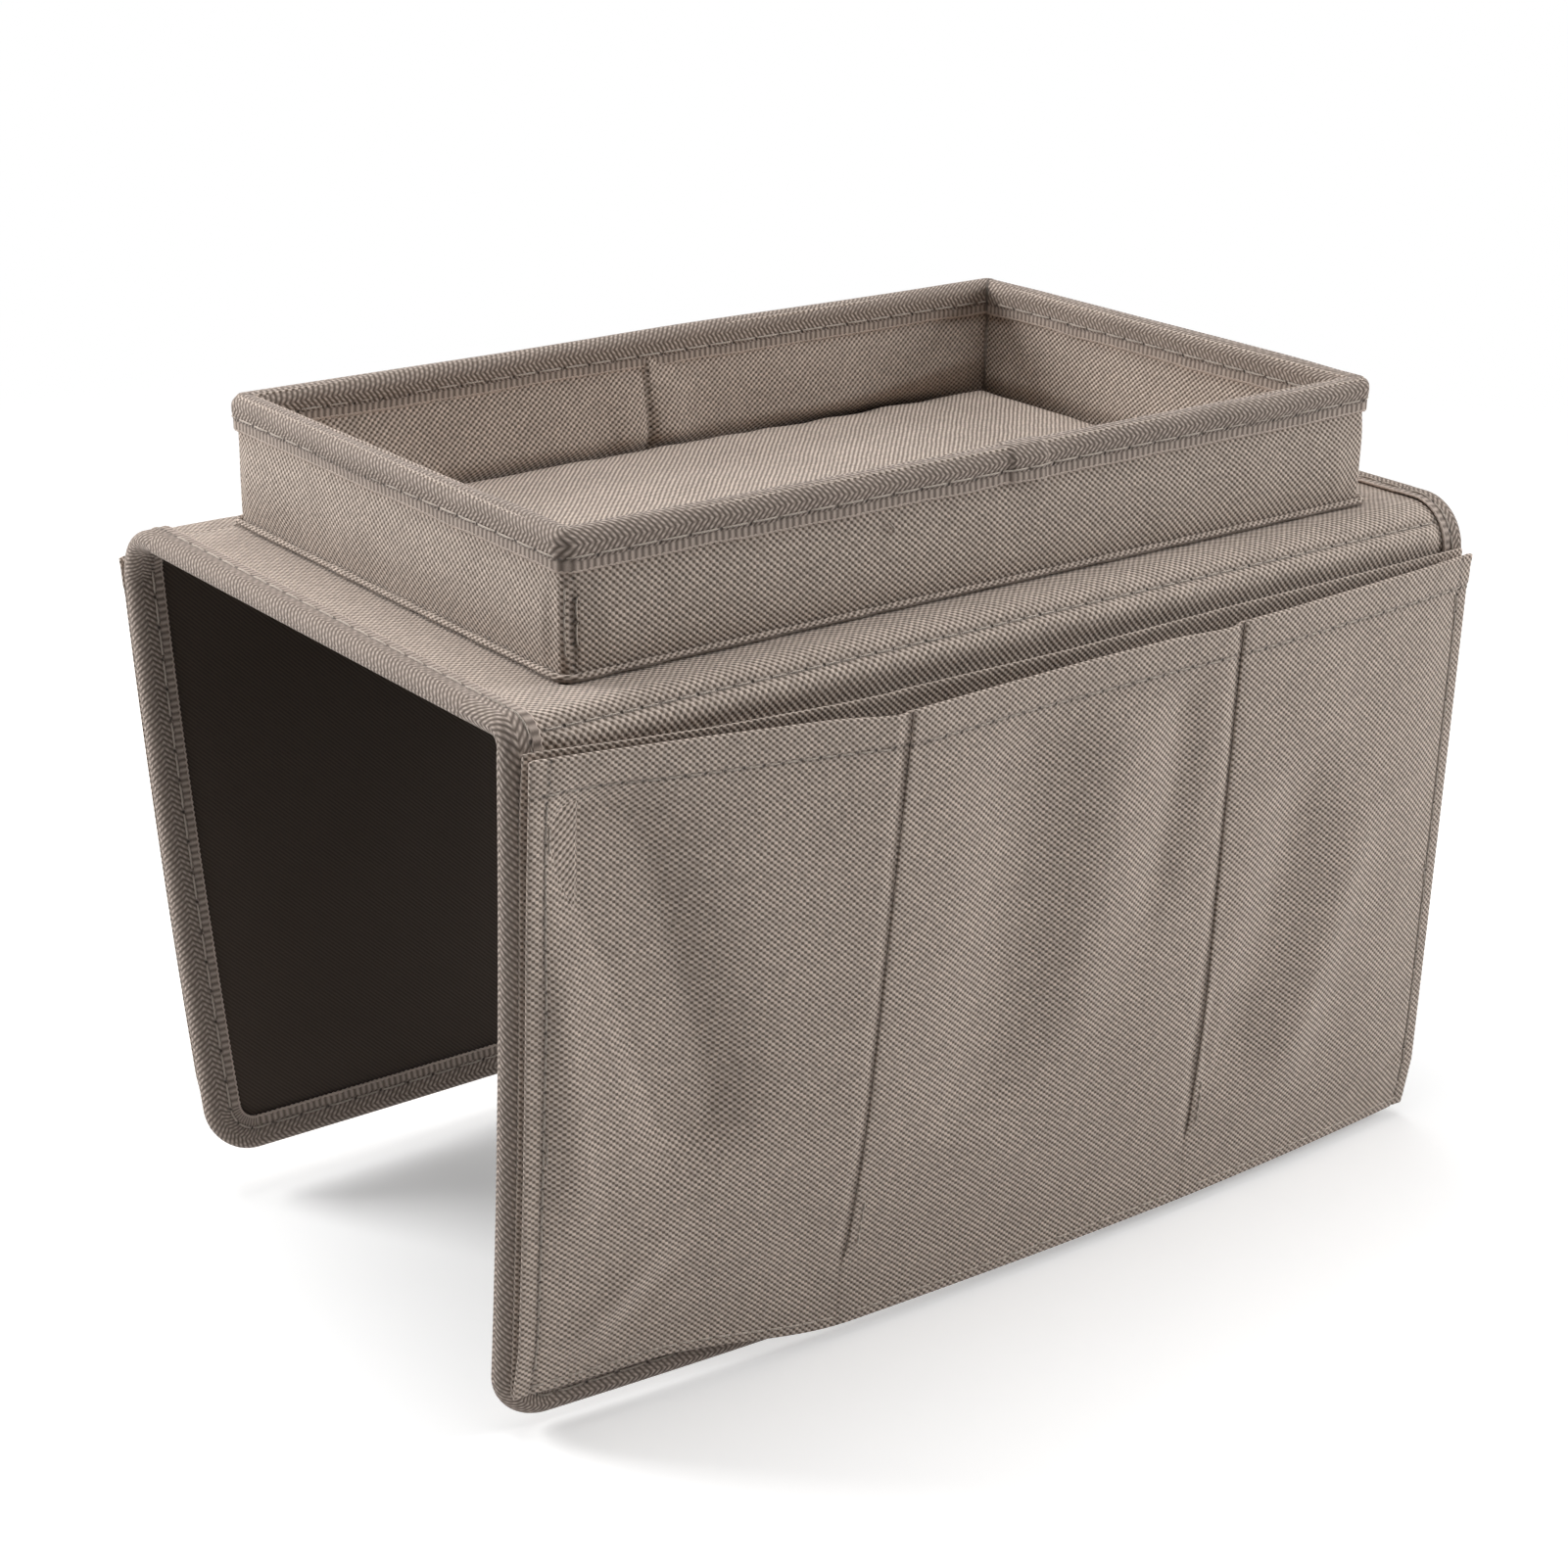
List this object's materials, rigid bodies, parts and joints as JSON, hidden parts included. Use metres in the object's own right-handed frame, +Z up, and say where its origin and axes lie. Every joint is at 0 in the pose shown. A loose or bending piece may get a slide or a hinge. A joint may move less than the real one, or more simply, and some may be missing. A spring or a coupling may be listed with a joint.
{
  "type": "sofa armrest tray",
  "caption": "Cloth tray with padded floor on a stiffened top panel that saddles a sofa arm, with a flap of open pockets hanging on each side.",
  "frame": {"origin": "centre of the top panel's underside, where it lies on the armrest", "axes": "+X along the armrest, +Y across it towards the rear flap, +Z up; the front flap is at -Y"},
  "size_m": [0.32, 0.2294, 0.2271],
  "materials": {
    "cloth": "taupe basket weave polyester",
    "tape": "taupe ribbed binding tape",
    "liner": "dark brown twill",
    "board": "fibre board",
    "felt": "stiff felt",
    "foam": "thin foam"
  },
  "bodies": {
    "organiser_top": {"top_liner": "liner", "top_board": "board", "top_cover": "cloth", "left_end_binding": "tape", "right_end_binding": "tape", "tray_outer_cover": "cloth", "tray_lining": "cloth", "tray_front_wall_board": "board", "tray_rear_wall_board": "board", "tray_left_wall_board": "board", "tray_right_wall_board": "board", "tray_rim_binding": "tape", "tray_floor_pad": "foam", "tray_floor_cover": "cloth", "tray_base_welt": "cloth", "front_fold_strip": "cloth", "rear_fold_strip": "cloth"},
    "front_flap": {"front_flap_liner": "liner", "front_flap_interlining": "felt", "front_flap_cover": "cloth", "front_flap_binding": "tape", "front_pocket_back": "cloth", "front_pocket_left": "cloth", "front_pocket_middle": "cloth", "front_pocket_right": "cloth", "front_pocket_left_gusset": "cloth", "front_pocket_right_gusset": "cloth"},
    "rear_flap": {"rear_flap_liner": "liner", "rear_flap_interlining": "felt", "rear_flap_cover": "cloth", "rear_flap_binding": "tape", "rear_pocket_back": "cloth", "rear_pocket_left": "cloth", "rear_pocket_middle": "cloth", "rear_pocket_right": "cloth", "rear_pocket_left_gusset": "cloth", "rear_pocket_right_gusset": "cloth"}
  },
  "joints": [
    {"name": "front_flap_fold", "type": "hinge", "parent": "organiser_top", "child": "front_flap", "pos_m": [0, -0.095, 0], "axis": [-1, 0, 0], "range_deg": [-26, 91.5], "deforming": ["front_fold_strip"]},
    {"name": "rear_flap_fold", "type": "hinge", "parent": "organiser_top", "child": "rear_flap", "pos_m": [0, 0.095, 0], "axis": [1, 0, 0], "range_deg": [-20, 96], "deforming": ["rear_fold_strip"]}
  ]
}
